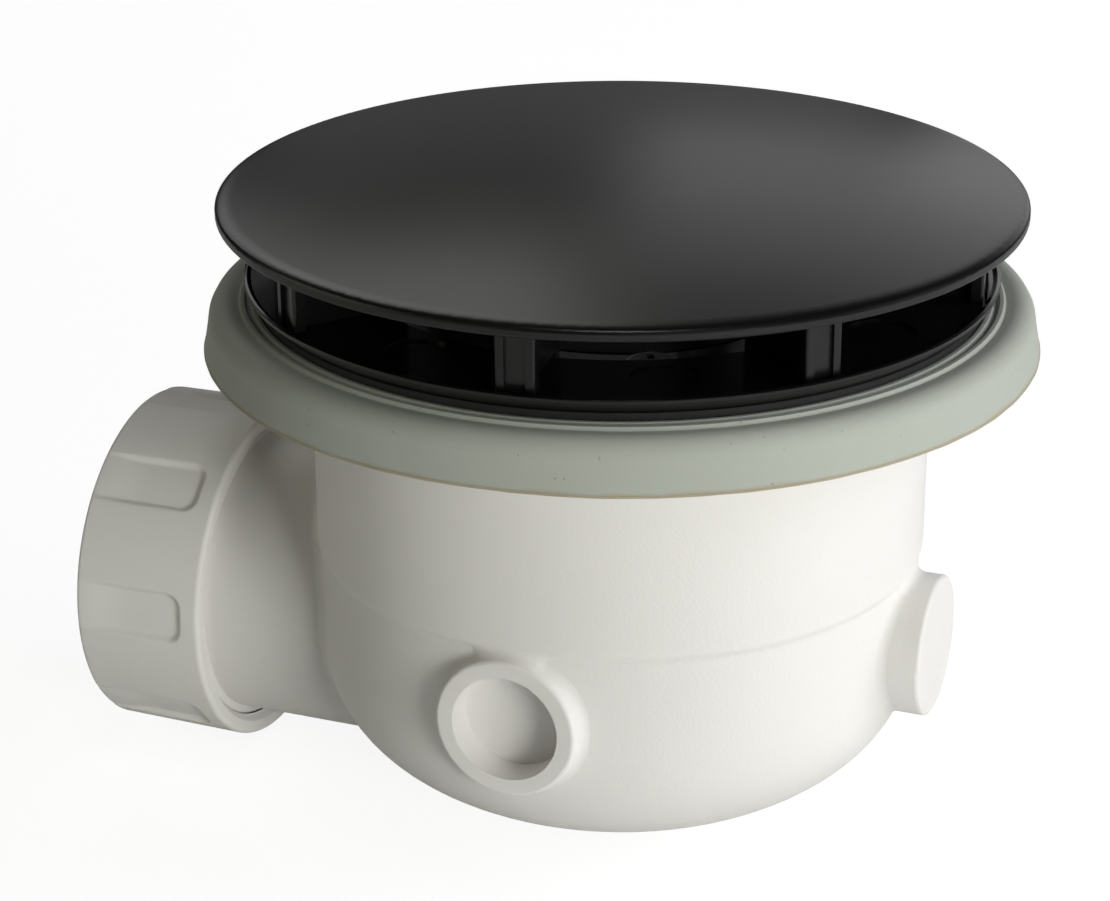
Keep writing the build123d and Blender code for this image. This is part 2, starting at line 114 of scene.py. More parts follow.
def add_node(
    tree: bpy.types.NodeTree, kind: str, links: dict[str | int, object] | None = None, **settings: object
) -> bpy.types.Node:
    """Adds a shader node, sets its properties and feeds its inputs.

    Args:
        tree: Node tree that gets the node.
        kind: Node type without its ShaderNode prefix.
        links: Input name or number to a socket or a plain value.
        settings: Properties set on the node.

    Returns:
        The new node.
    """
    node = tree.nodes.new("ShaderNode" + kind)
    for name, value in settings.items():
        setattr(node, name, value)
    for name, value in (links or {}).items():
        if isinstance(value, bpy.types.NodeSocket):
            tree.links.new(value, node.inputs[name])
        else:
            node.inputs[name].default_value = value
    return node


def add_group(tree: bpy.types.NodeTree, group: Group, links: dict[str | int, object]) -> bpy.types.Node:
    """Places a shared group in a material.

    Args:
        tree: Node tree of the material.
        group: Which group is placed.
        links: Input name to a socket or a plain value.

    Returns:
        The group node.
    """
    return add_node(tree, "Group", links, node_tree=bpy.data.node_groups[group.value])


class GroupMaker:
    """Builds a node group with named inputs and outputs."""

    def __init__(self, group: Group, inputs: dict[str, str], outputs: dict[str, str]) -> None:
        """Makes the empty group and its sockets.

        Args:
            group: Which group is made.
            inputs: Name and kind of each input after Vector, in order.
            outputs: Name and kind of each output, in order.
        """
        self.tree = bpy.data.node_groups.new(group.value, "ShaderNodeTree")
        for direction, sockets in (("INPUT", {"Vector": "Vector", **inputs}), ("OUTPUT", outputs)):
            for name, kind in sockets.items():
                self.tree.interface.new_socket(name=name, in_out=direction, socket_type="NodeSocket" + kind)
        self.given = self.tree.nodes.new("NodeGroupInput").outputs
        self.result = self.tree.nodes.new("NodeGroupOutput").inputs

    def node(self, kind: str, links: dict[str | int, object], **settings: object) -> bpy.types.Node:
        """Adds a node to the group; the arguments are those of add_node."""
        return add_node(self.tree, kind, links, **settings)

    def noise(self, scale: object, detail: float) -> bpy.types.NodeSocket:
        """Adds noise over the surface.

        Args:
            scale: Socket or value of the scale.
            detail: Octaves of noise.

        Returns:
            The noise.
        """
        links = {"Vector": self.given["Vector"], "Scale": scale, "Detail": detail}
        return self.node("TexNoise", links).outputs[0]

    def compute(
        self, operation: str, first: object, second: object, clamp: bool = False
    ) -> bpy.types.NodeSocket:
        """Adds a sum.

        Args:
            operation: Blender's name of the sum.
            first: Socket or value that comes first.
            second: Socket or value that comes second.
            clamp: Whether the result is held between 0 and 1.

        Returns:
            The result.
        """
        return self.node("Math", {0: first, 1: second}, operation=operation, use_clamp=clamp).outputs[0]

    def ramp(
        self, value: object, start: float, end: float, at_start: float = 0.0, at_end: float = 1.0
    ) -> bpy.types.NodeSocket:
        """Adds a ramp that stays level before its start and after its end.

        Args:
            value: Socket that is mapped.
            start: Value where the ramp starts.
            end: Value where the ramp ends.
            at_start: Result at the start.
            at_end: Result at the end.

        Returns:
            The result.
        """
        return self.node("MapRange", {0: value, 1: start, 2: end, 3: at_start, 4: at_end}).outputs[0]

    def mix(self, share: object, base: object, other: object) -> bpy.types.NodeSocket:
        """Adds a blend of two colours.

        Args:
            share: Share of the other colour.
            base: Colour at a share of 0.
            other: Colour at a share of 1.

        Returns:
            The blended colour.
        """
        links = {MIX_SHARE: share, MIX_FIRST: base, MIX_SECOND: other}
        return self.node("Mix", links, data_type="RGBA").outputs[MIX_RESULT]

    def put(self, name: str, socket: bpy.types.NodeSocket) -> None:
        """Links a socket to a named output."""
        self.tree.links.new(socket, self.result[name])


def build_grain() -> None:
    """Builds the grain: fine noise plus a share of broad noise, which also spreads the roughness."""
    inputs = ("Fine scale", "Broad scale", "Broad share", "Roughness", "Roughness spread")
    group = GroupMaker(
        Group.GRAIN, {name: "Float" for name in inputs}, {"Height": "Float", "Roughness": "Float"}
    )
    fine = group.noise(group.given["Fine scale"], FINE_DETAIL)
    broad = group.noise(group.given["Broad scale"], BROAD_DETAIL)
    weighted = group.compute("MULTIPLY", broad, group.given["Broad share"])
    group.put("Height", group.compute("ADD", fine, weighted))
    centred = group.compute("SUBTRACT", broad, NOISE_MIDDLE)
    spread = group.compute("MULTIPLY", centred, group.given["Roughness spread"])
    group.put("Roughness", group.compute("ADD", spread, group.given["Roughness"], clamp=True))


def build_drift() -> None:
    """Builds the drift: soft clouds of noise turn the base colour into its neighbour."""
    group = GroupMaker(
        Group.DRIFT, {"Scale": "Float", "Base": "Color", "Other": "Color"}, {"Color": "Color"}
    )
    mask = group.ramp(group.noise(group.given["Scale"], CLOUD_DETAIL), *CLOUD_RANGE)
    group.put("Color", group.mix(mask, group.given["Base"], group.given["Other"]))


def build_specks() -> None:
    """Builds the specks: a dot in the middle of those cells whose random number is below the amount."""
    group = GroupMaker(
        Group.SPECKS,
        {"Scale": "Float", "Amount": "Float", "Base": "Color", "Speck": "Color"},
        {"Color": "Color"},
    )
    cells = group.node("TexVoronoi", {"Vector": group.given["Vector"], "Scale": group.given["Scale"]})
    random = group.node("TexWhiteNoise", {"Vector": cells.outputs["Position"]})
    near = group.ramp(cells.outputs["Distance"], *SPECK_RANGE, at_start=1.0, at_end=0.0)
    chosen = group.compute("LESS_THAN", random.outputs["Value"], group.given["Amount"])
    dots = group.compute("MULTIPLY", near, chosen)
    group.put("Color", group.mix(dots, group.given["Base"], group.given["Speck"]))


def build_edge() -> None:
    """Builds the lower edge's tint, which reaches up from a height by a width that noise varies."""
    group = GroupMaker(
        Group.EDGE,
        {"Height": "Float", "Width": "Float", "Amount": "Float", "Base": "Color", "Tint": "Color"},
        {"Color": "Color"},
    )
    level = group.node("SeparateXYZ", {0: group.given["Vector"]}).outputs["Z"]
    above = group.compute("SUBTRACT", level, group.given["Height"])
    reach = group.compute("MULTIPLY", group.noise(EDGE_PATCH_SCALE, BROAD_DETAIL), group.given["Width"])
    low = group.ramp(group.compute("DIVIDE", above, reach), *EDGE_RANGE, at_start=1.0, at_end=0.0)
    tinted = group.compute("MULTIPLY", low, group.given["Amount"])
    group.put("Color", group.mix(tinted, group.given["Base"], group.given["Tint"]))


@dataclass(frozen=True)
class Finish:
    """Finish of one material: its colours, gloss and surface grain.

    Scales are in cycles a metre, and heights, widths and depths in metres.
    """

    name: str
    colour: Colour
    other: Colour
    drift_scale: float = 25.0
    speck: Colour = (0.1, 0.1, 0.1)
    speck_scale: float = 700.0
    speck_amount: float = 0.0
    roughness: float = 0.45
    roughness_spread: float = 0.1
    fine_scale: float = 2500.0
    broad_scale: float = 60.0
    broad_share: float = 0.5
    grain_depth: float = 0.00002
    metallic: float = 0.0
    specular: float = 0.5
    glow_under: float = 0.0
    glow_depth: float = 0.002
    glow_tint: Colour = (1.0, 0.9, 0.7)
    edge_height: float = -1.0
    edge_width: float = 0.0005
    edge_amount: float = 0.0
    edge_tint: Colour = (0.4, 0.3, 0.2)

    def make(self) -> bpy.types.Material:
        """Builds the material.

        Returns:
            The material with its node tree.
        """
        material = bpy.data.materials.new(self.name)
        material.use_nodes = True
        material.diffuse_color = opaque(self.colour)
        tree = material.node_tree
        shader = tree.nodes["Principled BSDF"]
        place = add_node(tree, "TexCoord").outputs["Object"]
        tone = add_group(tree, Group.DRIFT, {
            "Vector": place, "Scale": self.drift_scale,
            "Base": opaque(self.colour), "Other": opaque(self.other),
        })
        dots = add_group(tree, Group.SPECKS, {
            "Vector": place, "Scale": self.speck_scale, "Amount": self.speck_amount,
            "Base": tone.outputs["Color"], "Speck": opaque(self.speck),
        })
        edge = add_group(tree, Group.EDGE, {
            "Vector": place, "Height": self.edge_height, "Width": self.edge_width,
            "Amount": self.edge_amount, "Base": dots.outputs["Color"], "Tint": opaque(self.edge_tint),
        })
        grain = add_group(tree, Group.GRAIN, {
            "Vector": place, "Fine scale": self.fine_scale, "Broad scale": self.broad_scale,
            "Broad share": self.broad_share, "Roughness": self.roughness,
            "Roughness spread": self.roughness_spread,
        })
        bump = add_node(tree, "Bump", {"Height": grain.outputs["Height"], "Distance": self.grain_depth})
        tree.links.new(edge.outputs["Color"], shader.inputs["Base Color"])
        tree.links.new(grain.outputs["Roughness"], shader.inputs["Roughness"])
        tree.links.new(bump.outputs["Normal"], shader.inputs["Normal"])
        shader.inputs["Metallic"].default_value = self.metallic
        shader.inputs["Specular IOR Level"].default_value = self.specular
        shader.inputs["Subsurface Weight"].default_value = self.glow_under
        shader.inputs["Subsurface Scale"].default_value = self.glow_depth
        shader.inputs["Subsurface Radius"].default_value = self.glow_tint
        return material


CREAM: Colour = (0.80, 0.785, 0.765)
SAGE: Colour = (0.415, 0.437, 0.39)

FINISHES = {
    "gloss_black": Finish(
        "Black moulding", shade(0.005), shade(0.006), roughness=0.28, roughness_spread=0.03,
        fine_scale=3000.0, grain_depth=0.000003, specular=0.55,
    ),
    "tube_black": Finish(
        "Black tube moulding", shade(0.004), shade(0.005), roughness=0.2, grain_depth=0.000002
    ),
    "washer_black": Finish(
        "Black washer rubber", shade(0.018), shade(0.024), roughness=0.5, grain_depth=0.00001
    ),
    "seal_black": Finish("Black seal rubber", shade(0.016), shade(0.022), roughness=0.5, grain_depth=0.00001),
    "sage_rubber": Finish(
        "Sage gasket rubber", SAGE, shade(0.96, SAGE), speck=shade(0.6, SAGE), speck_scale=1400.0,
        speck_amount=0.02, roughness=0.62, grain_depth=0.00003, fine_scale=1800.0, broad_scale=140.0,
        edge_height=-0.0076, edge_width=0.0009, edge_amount=0.75, edge_tint=(0.36, 0.30, 0.19),
    ),
    "cream_plastic": Finish(
        "Cream moulding", CREAM, shade(0.975, CREAM), roughness=0.48, grain_depth=0.000035,
        fine_scale=2200.0, broad_scale=90.0, glow_under=0.15,
    ),
    "cup_plastic": Finish("Cup moulding", CREAM, shade(0.96, CREAM), roughness=0.42, grain_depth=0.00001),
    "screw_steel": Finish(
        "Screw steel", shade(0.6), shade(0.55), roughness=0.3, metallic=1.0, grain_depth=0.00001
    ),
    "insert_brass": Finish(
        "Insert brass", (0.68, 0.48, 0.2), (0.6, 0.42, 0.17), roughness=0.32, metallic=1.0,
        grain_depth=0.00001,
    ),
    "slip_plastic": Finish("Slip ring plastic", shade(0.82), shade(0.78), roughness=0.4, grain_depth=0.00001),
}

NODE_FINISHES = {
    "waste_flange": Finish(
        "Polished black moulding", shade(0.004), shade(0.005), roughness=0.14, roughness_spread=0.02,
        fine_scale=3000.0, grain_depth=0.000001,
    ),
}


def make_finishes() -> dict[str, bpy.types.Material]:
    """Builds the shared groups and then each finish once.

    Returns:
        Material slot, or the node that has a finish of its own, to material.
    """
    build_grain()
    build_drift()
    build_specks()
    build_edge()
    return {name: finish.make() for name, finish in {**FINISHES, **NODE_FINISHES}.items()}


def dress(piece: bpy.types.Object, material: bpy.types.Material) -> None:
    """Gives a piece its material and reports it."""
    piece.data.materials.clear()
    piece.data.materials.append(material)
    log.info("%s has finish %s", piece.name, material.name)


def dress_nodes(made: dict[str, bpy.types.Material]) -> None:
    """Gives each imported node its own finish, or else the finish of its material slot.

    Args:
        made: Materials by slot or node.
    """
    for row in frame["record"]["subparts"]:
        node = row["node"]
        dress(frame["nodes"][node], made.get(node, made[row["material_slot"]]))


def smooth_step(share: np.ndarray) -> np.ndarray:
    """Eases a share from 0 to 1: the share squared, times 3 less twice the share."""
    return share * share * (3 - 2 * share)


def rounded_outline(corners: list[Corner], steps: int = 5) -> np.ndarray:
    """Closed outline with rounded corners.

    A corner's arc touches both sides at rounding / tan(half the corner's angle) from the corner, and its
    centre lies on the bisector at rounding / sin(half the angle).

    Args:
        corners: First coordinate, second coordinate and rounding of each corner, in millimetres.
        steps: Straight steps in each arc.

    Returns:
        Points of the outline, one row each.
    """
    table = np.array(corners, float)
    point = table[:, :2]
    rounding = table[:, 2:]
    before = np.roll(point, 1, axis=0) - point
    after = np.roll(point, -1, axis=0) - point
    before /= np.linalg.norm(before, axis=1, keepdims=True)
    after /= np.linalg.norm(after, axis=1, keepdims=True)
    half = np.arccos(np.clip((before * after).sum(axis=1, keepdims=True), -1.0, 1.0)) / 2
    bisector = before + after
    bisector /= np.maximum(np.linalg.norm(bisector, axis=1, keepdims=True), SMALLEST)
    centre = point + bisector * rounding / np.sin(half)
    first = point + before * rounding / np.tan(half) - centre
    last = point + after * rounding / np.tan(half) - centre
    angle = np.arctan2(first[:, 1], first[:, 0])
    turn = np.arctan2(last[:, 1], last[:, 0]) - angle
    turn = (turn + np.pi) % (2 * np.pi) - np.pi
    angles = angle[:, None] + turn[:, None] * np.linspace(0.0, 1.0, steps + 1)
    arcs = centre[:, None, :] + rounding[:, None, :] * np.stack([np.cos(angles), np.sin(angles)], axis=2)
    outline = arcs.reshape(-1, 2)
    gap = np.linalg.norm(outline - np.roll(outline, 1, axis=0), axis=1)
    return outline[gap > SHORTEST_SIDE]


def divided(outline: np.ndarray, spacing: float) -> np.ndarray:
    """Closed outline with extra points, so that no side is longer than the spacing.

    Each side is cut in as few equal steps as keep to the spacing, and each step's number times the side's
    share is added to the side's first point.

    Args:
        outline: Points of the outline, one row each.
        spacing: Longest side that is left.

    Returns:
        The denser outline.
    """
    side = np.roll(outline, -1, axis=0) - outline
    count = np.maximum(1, np.ceil(np.linalg.norm(side, axis=1) / spacing)).astype(int)
    order = np.arange(count.sum()) - np.repeat(np.cumsum(count) - count, count)
    step = np.repeat(side / count[:, None], count, axis=0)
    return np.repeat(outline, count, axis=0) + step * order[:, None]


def wrapped_faces(rows: int, columns: int) -> np.ndarray:
    """Quads of a grid that closes on itself both ways.

    Args:
        rows: Points along the outline.
        columns: Points round the axis.

    Returns:
        Four vertex numbers a face.
    """
    row = np.arange(rows)[:, None]
    column = np.arange(columns)[None, :]
    next_row = (row + 1) % rows
    next_column = (column + 1) % columns
    corners = [row * columns + column, row * columns + next_column]
    corners += [next_row * columns + next_column, next_row * columns + column]
    return np.stack(corners, axis=2).reshape(-1, 4)


def add_piece(name: str, points: np.ndarray, faces: np.ndarray, replaced: str) -> bpy.types.Object:
    """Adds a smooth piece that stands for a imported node.

    Args:
        name: Name of the piece.
        points: Vertices in millimetres, one row each.
        faces: Vertex numbers, one row a face, facing outward.
        replaced: Node that the piece stands for.

    Returns:
        The new object.
    """
    mesh = bpy.data.meshes.new(name)
    mesh.from_pydata((points * MM).tolist(), [], faces.tolist())
    mesh.polygons.foreach_set("use_smooth", np.ones(len(faces), bool))
    mesh.update()
    piece = bpy.data.objects.new(name, mesh)
    bpy.context.scene.collection.objects.link(piece)
    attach(piece, ROOT)
    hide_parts(replaced)
    log.info("%s has %d faces", name, len(faces))
    return piece


@dataclass(frozen=True)
class TrayGasket:
    """Rubber ring with soft edges, a slightly uneven skirt and a thin flash at its lower edge.

    Lengths are in millimetres.
    """

    slot: str = "sage_rubber"
    crest_radius: float = 56.2
    crest_height: float = 0.2
    shoulder_rounding: float = 3.0
    shoulder_allowance: float = 0.1
    shoulder_drop: float = 0.6
    shoulder_foot_rounding: float = 2.0
    skirt_radius: float = 60.0
    depth: float = 7.6
    groove_depth: float = 0.5
    rib_top: float = 0.6
    rib_slope: float = 0.3
    ribs: tuple[float, ...] = (54.2, 52.7, 50.4, 48.1, 45.8)
    inner_radius: float = 42.3
    inner_rounding: float = 0.2
    top_thickness: float = 2.0
    flange_radius: float = 57.2
    flange_underside: float = -5.6
    flange_rounding: float = 0.05
    lip_inner_radius: float = 50.0
    edge_rounding: float = 0.3
    flash_width: float = 0.12
    flash_height: float = 0.3
    soft_edge: float = 0.12
    unevenness: float = 0.05
    slow_waves: tuple[int, ...] = (5, 8, 13)
    quick_waves: tuple[int, ...] = (37, 61)
    spacing: float = 2.0
    columns: int = 480

    def outline(self) -> np.ndarray:
        """Ring's outline: flared skirt with its flash, rounded shoulder, ribbed top, inside and lower lip.

        Returns:
            Radii and heights, one row a point.
        """
        soft = self.soft_edge
        side = self.skirt_radius - self.flash_width
        shoulder = self.crest_radius + self.shoulder_rounding
        shoulder_foot = self.crest_height - self.shoulder_rounding - self.shoulder_drop
        corners = [
            (self.lip_inner_radius, -self.depth, self.edge_rounding),
            (self.skirt_radius, -self.depth, soft),
            (self.skirt_radius, self.flash_height - self.depth, soft / 2),
            (side, self.flash_height + self.flash_width - self.depth, soft / 2),
            (shoulder, shoulder_foot, self.shoulder_foot_rounding),
            (shoulder, self.crest_height, self.shoulder_rounding - self.shoulder_allowance),
        ]
        half_top = self.rib_top / 2
        half_foot = half_top + self.rib_slope
        for radius in self.ribs:
            corners.append((radius + half_foot, -self.groove_depth, soft))
            corners.append((radius + half_top, 0.0, soft))
            corners.append((radius - half_top, 0.0, soft))
            corners.append((radius - half_foot, -self.groove_depth, soft))
        corners += [
            (self.inner_radius, -self.groove_depth, self.edge_rounding),
            (self.inner_radius, -self.top_thickness, self.inner_rounding),
            (self.flange_radius, -self.top_thickness, self.flange_rounding),
            (self.flange_radius, self.flange_underside, self.flange_rounding),
            (self.lip_inner_radius, self.flange_underside, self.edge_rounding),
        ]
        return divided(rounded_outline(corners), self.spacing)

    def wave(self, angle: np.ndarray) -> np.ndarray:
        """Unevenness round the ring, in millimetres.

        It is the mean of slow sines of the angle plus a third of the mean of quick ones, raised to start at
        zero and scaled by the unevenness.

        Args:
            angle: Angles round the ring.

        Returns:
            The unevenness at each angle.
        """
        slow, quick = len(self.slow_waves), 3 * len(self.quick_waves)
        wave = sum(np.sin(count * angle + count * count) / slow for count in self.slow_waves)
        wave += sum(np.sin(count * angle + 2 * count) / quick for count in self.quick_waves)
        return self.unevenness * (wave - wave.min())

    def build(self, material: bpy.types.Material) -> None:
        """Turns the outline about Z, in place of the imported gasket.

        The skirt is drawn in by the wave and its lower edge lifts by it, both fading out towards the crest.

        Args:
            material: The ring's finish.
        """
        outline = self.outline()
        angle = np.linspace(0.0, 2 * np.pi, self.columns, endpoint=False)
        wave = self.wave(angle)
        outer = (outline[:, 0] - self.flange_radius) / (self.skirt_radius - self.flange_radius)
        low = np.clip(outer, 0.0, 1.0) * np.clip(-outline[:, 1] / self.depth, 0.0, 1.0)
        radius = outline[:, :1] - low[:, None] * wave
        height = outline[:, 1:] + low[:, None] * wave
        points = np.stack([radius * np.cos(angle), radius * np.sin(angle), height], axis=2)
        faces = wrapped_faces(len(outline), self.columns)
        dress(add_piece("gasket_ring", points.reshape(-1, 3), faces, "tray_gasket"), material)


@dataclass(frozen=True)
class OutletNut:
    """Compression nut with soft-edged finger hollows and its thread.

    Lengths are in millimetres, hollow_turn in degrees, thread_turn in radians.
    """

    slot: str = "cream_plastic"
    axis_height: float = -54.35
    start: float = 57.5
    end: float = 78.4
    radius: float = 26.35
    taper: float = 0.25
    bore: float = 23.65
    bore_chamfer: float = 0.7
    chamfer_rounding: float = 0.2
    lip_radius: float = 22.0
    lip_thickness: float = 2.2
    lip_rounding: float = 0.1
    mouth_rounding: float = 0.3
    edge_rounding: float = 0.7
    side_band: float = 0.3
    tolerance: float = 0.01
    arc_steps: int = 6
    spacing: float = 0.25
    hollows: int = 8
    hollow_turn: float = 4.4
    hollow_start: float = 60.9
    hollow_end: float = 81.5
    hollow_depth: float = 0.8
    hollow_fade_start: float = 70.5
    hollow_end_depth: float = 0.2
    hollow_width: float = 7.5
    hollow_rounding: float = 2.2
    hollow_edge: float = 0.9
    hollow_floor: float = 0.6
    edge_points: int = 16
    floor_points: int = 3
    gap_points: int = 12
    thread_pitch: float = 3.0
    thread_depth: float = 0.2
    thread_turn: float = 2.2
    thread_shift: float = 0.25
    thread_crest: float = 1.25
    thread_flank: float = 2.5
    thread_lead_depth: float = 0.8
    thread_lead_gap: float = 0.1
    thread_lead_fade: float = 0.3
    thread_begin: float = 0.125
    thread_stop: float = 0.6
    thread_fade: float = 0.5
    collar_start: float = 58.7

    def outline(self) -> np.ndarray:
        """Nut's outline without hollows and thread: outside, far face, lip, bore, its chamfer, near face.

        Returns:
            Distances along the outlet and radii, one row a point.
        """
        lip = self.end - self.lip_thickness
        corners = [
            (self.start, self.bore + self.bore_chamfer, self.chamfer_rounding),
            (self.start + self.bore_chamfer, self.bore, self.chamfer_rounding),
            (lip, self.bore, self.lip_rounding),
            (lip, self.lip_radius, self.lip_rounding),
            (self.end, self.lip_radius, self.mouth_rounding),
            (self.end, self.radius - self.taper, self.edge_rounding),
            (self.start, self.radius, self.edge_rounding),
        ]
        return divided(rounded_outline(corners, self.arc_steps), self.spacing)[::-1]

    def angles(self) -> np.ndarray:
        """Angles round the nut, closer together at the edges of the hollows.

        Returns:
            Angles in radians, rising.
        """
        half = self.hollow_width / 2
        edge = np.linspace(-self.hollow_edge, self.hollow_rounding, self.edge_points) - half
        floor = np.linspace(-self.hollow_floor, self.hollow_floor, self.floor_points)
        gap = 2 * np.pi * self.radius / self.hollows - half - self.hollow_edge
        between = np.linspace(half + self.hollow_edge, gap, self.gap_points)
        across = np.concatenate([edge, floor, -edge[::-1], between[1:-1]]) / self.radius
        middle = np.arange(self.hollows)[:, None] * 2 * np.pi / self.hollows
        return (math.radians(self.hollow_turn) + middle + across[None, :]).ravel()

    def hollow_share(self, along: np.ndarray, angle: np.ndarray) -> np.ndarray:
        """Share of the hollow's depth at each point.

        The distance to a rectangle with rounded corners is the length of the part of (offset - half size +
        rounding) above zero, less the rounding. The share eases from 1 to 0 across the hollow's edge.

        Args:
            along: Distance along the outlet, one row a point.
            angle: Angle round the nut.

        Returns:
            Shares from 0 to 1.
        """
        step = 2 * np.pi / self.hollows
        turned = (angle - math.radians(self.hollow_turn) + step / 2) % step - step / 2
        middle = (self.hollow_start + self.hollow_end) / 2
        rounding = self.hollow_rounding
        past_end = np.abs(along - middle) - (middle - self.hollow_start) + rounding
        past_side = np.abs(turned) * self.radius - self.hollow_width / 2 + rounding
        out = np.stack(np.broadcast_arrays(past_end, past_side))
        distance = np.linalg.norm(np.maximum(out, 0.0), axis=0) + np.minimum(out.max(axis=0), 0.0) - rounding
        return smooth_step(np.clip(0.5 - distance / self.hollow_edge, 0.0, 1.0))

    def depth(self, along: np.ndarray) -> np.ndarray:
        """Depth of the hollows, which eases from hollow_depth to hollow_end_depth at the far face.

        Args:
            along: Distance along the outlet.

        Returns:
            The depth at each distance.
        """
        faded = np.clip((along - self.hollow_fade_start) / (self.end - self.hollow_fade_start), 0.0, 1.0)
        return self.hollow_depth + (self.hollow_end_depth - self.hollow_depth) * smooth_step(faded)

    def thread(self, along: np.ndarray, angle: np.ndarray) -> np.ndarray:
        """Height of the thread's ridge inside the bore.

        A ridge with a rounded crest runs along the helix where the distance along less the pitch times the
        turn is whole. It is deep only ahead of the collar, fades in over the first eighth of a turn and
        fades out before the lip.

        Args:
            along: Distance along the outlet, one row a point.
            angle: Angle round the nut.

        Returns:
            Ridge heights.
        """
        turn = ((angle + self.thread_turn) % (2 * np.pi)) / (2 * np.pi)
        turns = (along - self.start) / self.thread_pitch - turn - self.thread_shift
        offset = np.abs(turns - np.round(turns)) * self.thread_pitch
        flank = self.thread_flank * offset / (self.thread_pitch / 2)
        ridge = smooth_step(np.clip(self.thread_crest - flank, 0.0, 1.0))
        lead = (self.collar_start - self.thread_lead_gap - along) / self.thread_lead_fade
        depth = self.thread_depth + (self.thread_lead_depth - self.thread_depth) * np.clip(lead, 0.0, 1.0)
        begun = np.clip((turns + 0.5) / self.thread_begin, 0.0, 1.0)
        left = self.end - self.lip_thickness - self.thread_stop - along
        return ridge * depth * begun * np.clip(left / self.thread_fade, 0.0, 1.0)

    def build(self, material: bpy.types.Material) -> None:
        """Turns the outline about the outlet's axis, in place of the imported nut.

        The radius is the outline's, less the hollow's depth times its share on the outside, and less the
        thread in the bore.

        Args:
            material: The nut's finish.
        """
        outline = self.outline()
        angle = self.angles()
        along, base = outline[:, :1], outline[:, 1:]
        side = self.radius - self.taper * (along - self.start) / (self.end - self.start)
        on_side = np.clip((base - side + self.side_band) / self.side_band, 0.0, 1.0)
        in_bore = np.abs(base - self.bore) < self.tolerance
        radius = base - on_side * self.depth(along) * self.hollow_share(along, angle)
        radius = radius - in_bore * self.thread(along, angle)
        x = np.broadcast_to(along, radius.shape)
        points = np.stack([x, radius * np.cos(angle), self.axis_height + radius * np.sin(angle)], axis=2)
        faces = wrapped_faces(len(outline), len(angle))
        dress(add_piece("nut_shell", points.reshape(-1, 3), faces, "outlet_nut"), material)


@dataclass(frozen=True)
class Lamp:
    """One square area lamp, aimed at the part: metres, degrees round Z from +X, and watts.

    A lamp that isn't mirrored lights the surfaces but makes no reflection in the polished black parts.
    """

    name: str
    polar: float
    distance: float
    height: float
    size: float
    power: float
    colour: Colour = WHITE
    mirrored: bool = True
    aim_height: float = -0.03

    def hang(self) -> None:
        """Hangs the lamp in the scene."""
        data = bpy.data.lights.new(self.name, "AREA")
        data.shape = "SQUARE"
        data.size = self.size
        data.energy = self.power
        data.color = self.colour
        lamp = bpy.data.objects.new(self.name, data)
        angle = math.radians(self.polar)
        lamp.location = (self.distance * math.cos(angle), self.distance * math.sin(angle), self.height)
        aim = Vector((0.0, 0.0, self.aim_height)) - lamp.location
        lamp.rotation_mode = "QUATERNION"
        lamp.rotation_quaternion = aim.to_track_quat("-Z", "Y")
        lamp.visible_glossy = self.mirrored
        bpy.context.scene.collection.objects.link(lamp)


LAMPS = [
    Lamp("Side lamp", 200.0, 0.9, 0.35, 0.7, 5.3, (0.95, 0.96, 1.0), mirrored=False),
    Lamp("Side sheen lamp", 195.0, 0.9, 0.35, 0.7, 0.3),
    Lamp("Front sheen lamp", 135.0, 0.9, 0.35, 0.7, 0.25),
    Lamp("Key lamp", 140.0, 0.9, 0.1, 0.3, 4.0, (0.99, 1.0, 0.94), mirrored=False),
    Lamp("Low key lamp", 150.0, 0.9, -0.02, 0.25, 1.4, mirrored=False),
    Lamp("Overhead lamp", 110.0, 0.4, 1.0, 0.25, 0.9),
    Lamp("Back side lamp", 255.0, 1.067, 0.266, 0.42, 0.24),
    Lamp("Back low lamp", 268.0, 1.083, 0.191, 0.42, 0.29),
    Lamp("Back lamp", 278.0, 1.005, 0.447, 0.42, 0.32),
    Lamp("Back high lamp", 306.0, 0.817, 0.736, 0.42, 0.72, (1.0, 1.0, 0.95)),
    Lamp("Back left lamp", 318.0, 1.005, 0.447, 0.42, 0.4),
    Lamp("Far back lamp", 292.0, 1.083, 0.191, 0.42, 0.08),
    Lamp("Front left fill", 60.0, 0.9, 0.1, 0.7, 0.26, (1.0, 0.98, 0.78)),
    Lamp("Left fill", 20.0, 0.9, 0.3, 0.7, 0.86, (1.0, 0.99, 0.8)),
]


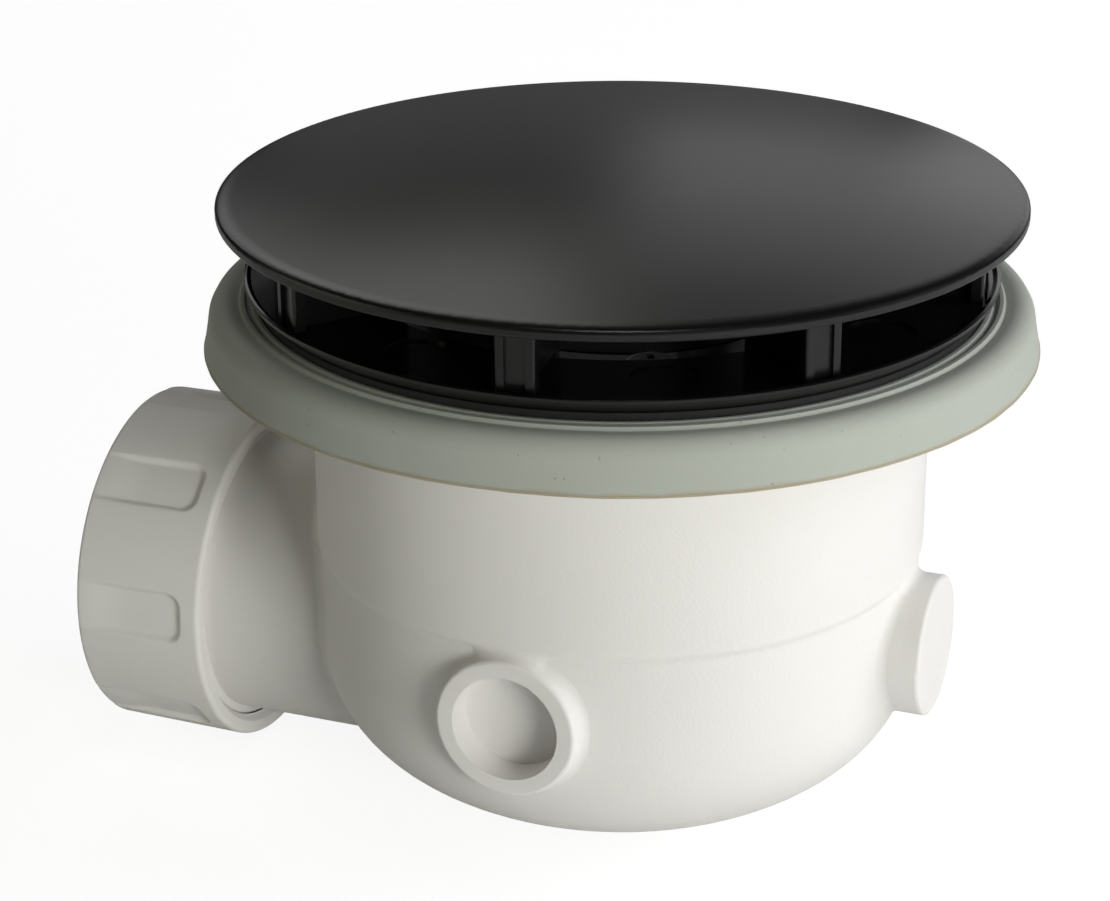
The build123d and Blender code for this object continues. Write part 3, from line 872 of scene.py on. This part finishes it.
@dataclass(frozen=True)
class Studio:
    """Pale floor, soft lamps and the camera at the photograph's angle: metres and degrees."""

    floor_height: float
    floor_size: float = 12.0
    floor_colour: Colour = (0.85, 0.85, 0.85)
    floor_lift: float = 0.65
    floor_glow: float = 1.34
    room_light: float = 0.0
    camera_turn: float = 110.0
    camera_distance: float = 0.40528
    camera_height: float = 0.143175
    camera_yaw: float = -1.36
    camera_pitch: float = 22.65
    camera_roll: float = -0.29
    sensor: float = 36.0
    focal_pixels: float = 2986.0
    frame_width: float = 1110.0
    nearest: float = 0.01
    farthest: float = 50.0

    def camera(self) -> None:
        """Places the camera; yaw, pitch and roll turn it away from a level look at the drain axis."""
        yaw, pitch, roll = (math.radians(a) for a in (self.camera_yaw, self.camera_pitch, self.camera_roll))
        right = Vector((math.cos(yaw), -math.sin(yaw), 0.0))
        level = Vector((math.sin(yaw), math.cos(yaw), 0.0))
        ahead = level * math.cos(pitch) - Vector((0.0, 0.0, math.sin(pitch)))
        up = right.cross(ahead)
        rolled_right = right * math.cos(roll) + up * math.sin(roll)
        rolled_up = up * math.cos(roll) - right * math.sin(roll)
        # The axes above are those of a camera on -Y, at 270 degrees round Z.
        turn = Matrix.Rotation(math.radians(self.camera_turn - 270.0), 3, "Z")
        axes = [turn @ axis for axis in (rolled_right, rolled_up, -ahead)]
        data = bpy.data.cameras.new("Camera")
        data.sensor_width = self.sensor
        data.lens = self.sensor * self.focal_pixels / self.frame_width
        data.clip_start = self.nearest
        data.clip_end = self.farthest
        eye = bpy.data.objects.new("Camera", data)
        place = Matrix(axes).transposed().to_4x4()
        place.translation = turn @ Vector((0.0, -self.camera_distance, self.camera_height))
        eye.matrix_world = place
        bpy.context.scene.collection.objects.link(eye)
        bpy.context.scene.camera = eye

    def floor(self) -> None:
        """Lays the pale floor, which the camera sees lifted towards white and which keeps the soft shadow."""
        half = self.floor_size / 2
        corners = np.array([(-half, -half, 0), (half, -half, 0), (half, half, 0), (-half, half, 0)], float)
        corners[:, 2] = self.floor_height
        mesh = bpy.data.meshes.new("floor")
        mesh.from_pydata(corners.tolist(), [], [(0, 1, 2, 3)])
        floor = bpy.data.objects.new("floor", mesh)
        bpy.context.scene.collection.objects.link(floor)
        material = bpy.data.materials.new("Pale floor")
        material.use_nodes = True
        tree = material.node_tree
        tree.nodes.remove(tree.nodes["Principled BSDF"])
        paint = add_node(tree, "BsdfDiffuse", {"Color": opaque(self.floor_colour)})
        seen = add_node(tree, "LightPath").outputs["Is Camera Ray"]
        share = add_node(tree, "Math", {0: seen, 1: self.floor_lift}, operation="MULTIPLY")
        lift = add_node(tree, "Emission", {"Color": opaque(WHITE), "Strength": self.floor_glow})
        both = add_node(tree, "MixShader", {0: share.outputs[0], 1: paint.outputs[0], 2: lift.outputs[0]})
        tree.links.new(both.outputs[0], tree.nodes["Material Output"].inputs["Surface"])
        mesh.materials.append(material)

    def light(self) -> None:
        """Hangs the lamps and sets the light of the room, which adds nothing to theirs."""
        for lamp in LAMPS:
            lamp.hang()
        world = bpy.data.worlds.new("Studio")
        world.use_nodes = True
        back = world.node_tree.nodes["Background"]
        back.inputs["Color"].default_value = opaque(WHITE)
        back.inputs["Strength"].default_value = self.room_light
        bpy.context.scene.world = world

    def build(self) -> None:
        """Sets up the floor, lamps, camera and view settings."""
        self.floor()
        self.light()
        self.camera()
        bpy.context.scene.view_settings.view_transform = "Standard"
        log.info("studio ready")


def main() -> None:
    """Builds the finishes, the pieces and the studio in order."""
    logging.basicConfig(level=logging.INFO, format="%(message)s")
    made = make_finishes()
    dress_nodes(made)
    for piece in (TrayGasket(), OutletNut()):
        piece.build(made[piece.slot])
    Studio(floor_height=cad_box[0][2]).build()


if __name__ == "__main__":
    main()
